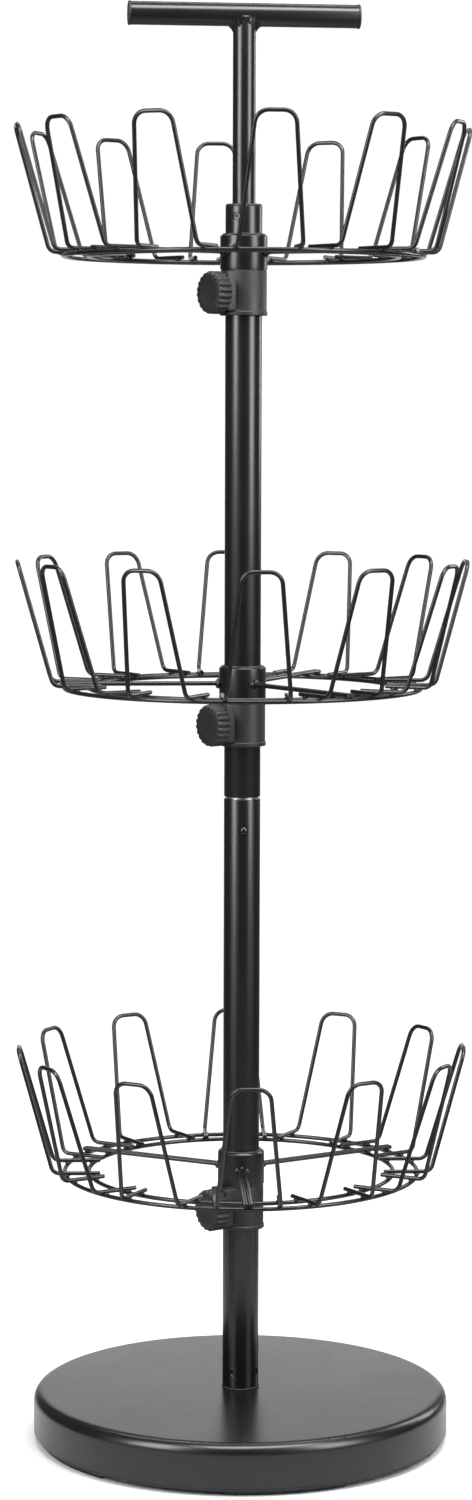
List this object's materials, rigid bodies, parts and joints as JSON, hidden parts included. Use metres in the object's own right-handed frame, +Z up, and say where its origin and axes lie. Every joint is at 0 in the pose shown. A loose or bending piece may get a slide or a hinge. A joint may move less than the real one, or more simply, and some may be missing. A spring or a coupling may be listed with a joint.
{
  "type": "revolving display rack",
  "caption": "Countertop display rack: round weighted base, two-piece pole with a T handle and three turning wire tiers with upright loops.",
  "frame": {"origin": "centre of the base on the floor", "axes": "+Z up along the pole, -Y towards the viewer, +X to the viewer's right"},
  "size_m": [0.3152, 0.3152, 1.0013],
  "materials": {
    "black_coating": "satin black powder coat on steel",
    "black_plastic": "moulded black plastic",
    "nylon": "smooth black nylon",
    "rubber_feet": "soft matt rubber",
    "ballast": "plain steel plate",
    "zinc": "zinc plated steel",
    "black_oxide": "blackened steel",
    "brass": "turned brass"
  },
  "bodies": {
    "stand": {"base_cover": "black_coating", "base_weight": "ballast", "base_pan": "black_plastic", "base_feet": "rubber_feet", "centre_bolt": "zinc", "bolt_washer": "zinc", "pole_plug": "zinc", "foot_screws": "black_oxide", "pole_washer": "rubber_feet", "lower_pole": "black_coating", "upper_pole": "black_coating", "pole_connector": "zinc", "top_bushing": "black_plastic", "lower_guide": "black_plastic", "rod_screw": "black_oxide", "handle_rod": "black_coating", "handle_bar": "black_coating", "handle_weld": "black_coating", "handle_plugs": "black_plastic"},
    "snap_catch": {"snap_button": "black_oxide", "snap_clip": "zinc"},
    "bottom_clamp": {"bottom_collar": "black_plastic", "bottom_insert": "brass"},
    "bottom_tier": {"bottom_hub": "black_coating", "bottom_hub_bush": "nylon", "bottom_outer_ring": "black_coating", "bottom_inner_ring": "black_coating", "bottom_spokes": "black_coating", "bottom_loops_a": "black_coating", "bottom_loops_b": "black_coating", "bottom_loops_c": "black_coating"},
    "bottom_pad": {"bottom_clamp_pad": "brass"},
    "bottom_screw": {"bottom_clamp_stud": "zinc", "bottom_knob": "black_plastic"},
    "middle_clamp": {"middle_collar": "black_plastic", "middle_insert": "brass"},
    "middle_tier": {"middle_hub": "black_coating", "middle_hub_bush": "nylon", "middle_outer_ring": "black_coating", "middle_inner_ring": "black_coating", "middle_spokes": "black_coating", "middle_loops_a": "black_coating", "middle_loops_b": "black_coating", "middle_loops_c": "black_coating"},
    "middle_pad": {"middle_clamp_pad": "brass"},
    "middle_screw": {"middle_clamp_stud": "zinc", "middle_knob": "black_plastic"},
    "top_clamp": {"top_collar": "black_plastic", "top_insert": "brass"},
    "top_tier": {"top_hub": "black_coating", "top_hub_bush": "nylon", "top_outer_ring": "black_coating", "top_inner_ring": "black_coating", "top_spokes": "black_coating", "top_loops_a": "black_coating", "top_loops_b": "black_coating", "top_loops_c": "black_coating"},
    "top_pad": {"top_clamp_pad": "brass"},
    "top_screw": {"top_clamp_stud": "zinc", "top_knob": "black_plastic"}
  },
  "joints": [
    {"name": "snap_press", "type": "slide", "parent": "stand", "child": "snap_catch", "axis": [-0.0976, 0.9952, 0], "range_m": [0, 0.003], "stiffness_N_per_m": 2500},
    {"name": "bottom_height", "type": "slide", "parent": "stand", "child": "bottom_clamp", "axis": [0, 0, 1], "range_m": [-0.1, 0.14]},
    {"name": "bottom_spin", "type": "hinge", "parent": "bottom_clamp", "child": "bottom_tier", "pos_m": [0, 0, 0.1815], "axis": [0, 0, 1], "continuous": true},
    {"name": "bottom_pad_slide", "type": "slide", "parent": "bottom_clamp", "child": "bottom_pad", "axis": [-0.788, -0.6157, 0], "range_m": [0, 0.002]},
    {"name": "bottom_knob_turn", "type": "hinge", "parent": "bottom_pad", "child": "bottom_screw", "pos_m": [-0.01607, -0.01256, 0.16625], "axis": [-0.788, -0.6157, 0], "range_deg": [0, 720]},
    {"name": "middle_height", "type": "slide", "parent": "stand", "child": "middle_clamp", "axis": [0, 0, 1], "range_m": [-0.05, 0.1]},
    {"name": "middle_spin", "type": "hinge", "parent": "middle_clamp", "child": "middle_tier", "pos_m": [0, 0, 0.5225], "axis": [0, 0, 1], "continuous": true},
    {"name": "middle_pad_slide", "type": "slide", "parent": "middle_clamp", "child": "middle_pad", "axis": [-0.788, -0.6157, 0], "range_m": [0, 0.002]},
    {"name": "middle_knob_turn", "type": "hinge", "parent": "middle_pad", "child": "middle_screw", "pos_m": [-0.01607, -0.01256, 0.50725], "axis": [-0.788, -0.6157, 0], "range_deg": [0, 720]},
    {"name": "top_height", "type": "slide", "parent": "stand", "child": "top_clamp", "axis": [0, 0, 1], "range_m": [-0.075, 0.012]},
    {"name": "top_spin", "type": "hinge", "parent": "top_clamp", "child": "top_tier", "pos_m": [0, 0, 0.8195], "axis": [0, 0, 1], "continuous": true},
    {"name": "top_pad_slide", "type": "slide", "parent": "top_clamp", "child": "top_pad", "axis": [-0.788, -0.6157, 0], "range_m": [0, 0.002]},
    {"name": "top_knob_turn", "type": "hinge", "parent": "top_pad", "child": "top_screw", "pos_m": [-0.01607, -0.01256, 0.80425], "axis": [-0.788, -0.6157, 0], "range_deg": [0, 720]}
  ],
  "couplings": [
    {"joint": "bottom_knob_turn", "follows": "bottom_pad_slide", "rad_per_m": 6283.2},
    {"joint": "middle_knob_turn", "follows": "middle_pad_slide", "rad_per_m": 6283.2},
    {"joint": "top_knob_turn", "follows": "top_pad_slide", "rad_per_m": 6283.2}
  ]
}
